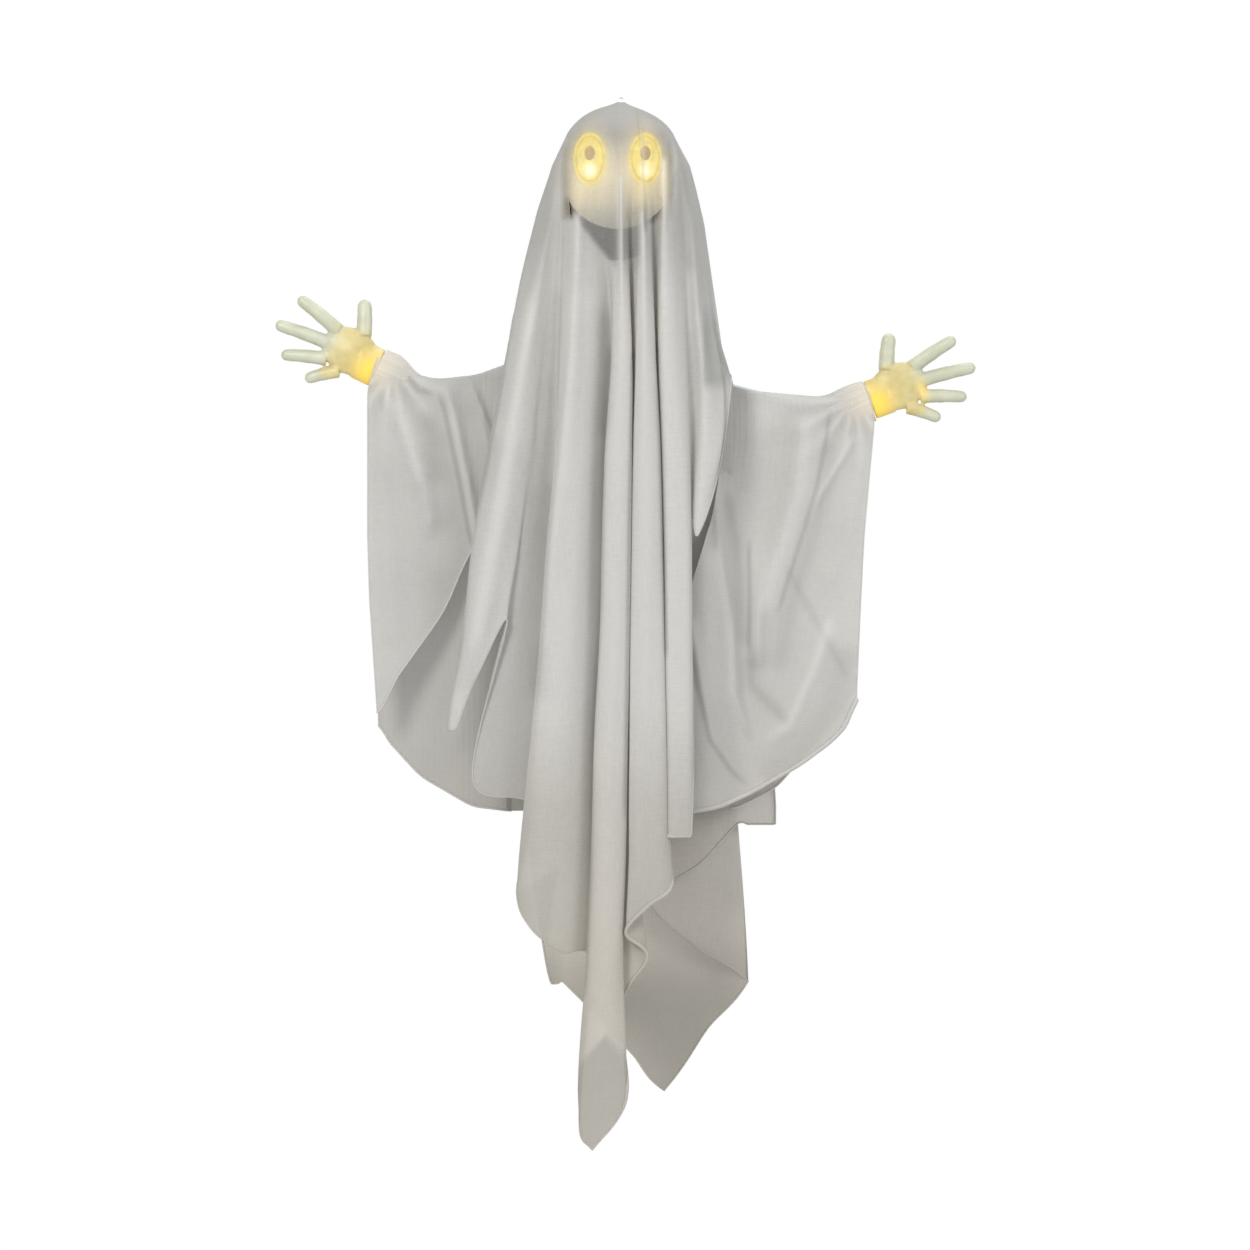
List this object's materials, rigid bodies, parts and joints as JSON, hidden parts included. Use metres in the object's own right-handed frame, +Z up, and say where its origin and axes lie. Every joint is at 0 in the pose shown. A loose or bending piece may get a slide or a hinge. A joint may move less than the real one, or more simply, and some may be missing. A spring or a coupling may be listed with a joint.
{
  "type": "hanging ghost decoration",
  "caption": "Life-size hanging cloth ghost with a lit-eyed plastic head under a veil, posable outstretched arms and glowing hands in wide sleeves.",
  "frame": {"origin": "foot of the hanging loop's eye, at the peak of the veil", "axes": "+Z up, -Y the front that the face looks to, +X to the viewer's right"},
  "size_m": [1.0124, 0.219, 1.5274],
  "materials": {
    "mask_plastic": "smooth off-white moulded plastic",
    "mouth_black": "matt black plastic",
    "eye_lens": "frosted translucent plastic, lit from behind in warm yellow",
    "pupil": "amber disc, dimmer than the lens",
    "lamp": "clear warm-white lamp",
    "black_plastic": "matt black moulded plastic",
    "wire_steel": "drawn steel wire",
    "pipe_plastic": "white plastic pipe",
    "lead": "white flexible insulation",
    "cell": "plain sleeved dry cell",
    "hand_vinyl": "translucent greenish-cream soft vinyl, lit from inside at the wrist",
    "veil_cloth": "thin pale grey-white sheer cloth, narrow rolled hem",
    "robe_cloth": "thin pale grey-white sheer cloth, narrow rolled hem"
  },
  "bodies": {
    "root": {"face_shell": "mask_plastic", "back_shell": "mask_plastic", "mouth_panel": "mouth_black", "left_eye_lens": "eye_lens", "right_eye_lens": "eye_lens", "left_eye_pupil": "pupil", "right_eye_pupil": "pupil", "lamp_bracket": "black_plastic", "left_eye_led": "lamp", "right_eye_led": "lamp", "hanging_loop": "wire_steel", "tube_cap": "black_plastic", "neck_tube": "pipe_plastic", "eye_lead": "lead", "shoulder_hub": "black_plastic", "left_shoulder_pin": "wire_steel", "right_shoulder_pin": "wire_steel", "battery_case": "black_plastic", "battery_cell_1": "cell", "battery_cell_2": "cell", "battery_cell_3": "cell", "upper_contact": "wire_steel", "lower_contact": "wire_steel", "veil": "veil_cloth", "robe_front": "robe_cloth", "robe_back": "robe_cloth"},
    "battery_door": {"battery_door": "black_plastic"},
    "switch_knob": {"switch_knob": "pipe_plastic"},
    "left_arm": {"left_arm_wire": "wire_steel", "left_arm_lead": "lead", "left_cuff": "robe_cloth", "left_hand_led": "lamp"},
    "left_hand": {"left_hand": "hand_vinyl"},
    "left_sleeve": {"left_sleeve": "robe_cloth"},
    "right_arm": {"right_arm_wire": "wire_steel", "right_arm_lead": "lead", "right_cuff": "robe_cloth", "right_hand_led": "lamp"},
    "right_hand": {"right_hand": "hand_vinyl"},
    "right_sleeve": {"right_sleeve": "robe_cloth"}
  },
  "joints": [
    {"name": "left_shoulder", "type": "hinge", "parent": "root", "child": "left_arm", "pos_m": [-0.06, 0, -0.392], "axis": [0, 1, 0], "range_deg": [-20, 15]},
    {"name": "left_wrist_turn", "type": "hinge", "parent": "left_arm", "child": "left_hand", "pos_m": [-0.356, 0, -0.388], "axis": [-0.8988, 0, 0.4384], "range_deg": [-45, 45]},
    {"name": "left_sleeve_lift", "type": "slide", "parent": "root", "child": "left_sleeve", "axis": [0, 0, 1], "range_m": [-0.11, 0.085], "deforming": ["left_sleeve"]},
    {"name": "right_shoulder", "type": "hinge", "parent": "root", "child": "right_arm", "pos_m": [0.06, 0, -0.392], "axis": [0, -1, 0], "range_deg": [-20, 15]},
    {"name": "right_wrist_turn", "type": "hinge", "parent": "right_arm", "child": "right_hand", "pos_m": [0.363, 0, -0.435], "axis": [0.9397, 0, 0.342], "range_deg": [-45, 45]},
    {"name": "right_sleeve_lift", "type": "slide", "parent": "root", "child": "right_sleeve", "axis": [0, 0, 1], "range_m": [-0.11, 0.085], "deforming": ["right_sleeve"]},
    {"name": "battery_door_slide", "type": "slide", "parent": "root", "child": "battery_door", "axis": [0, 0, -1], "range_m": [0, 0.055]},
    {"name": "power_switch", "type": "slide", "parent": "root", "child": "switch_knob", "axis": [0, 0, 1], "range_m": [-0.004, 0]}
  ],
  "couplings": [
    {"joint": "left_sleeve_lift", "follows": "left_shoulder", "m_per_rad": 0.305},
    {"joint": "right_sleeve_lift", "follows": "right_shoulder", "m_per_rad": 0.305}
  ]
}
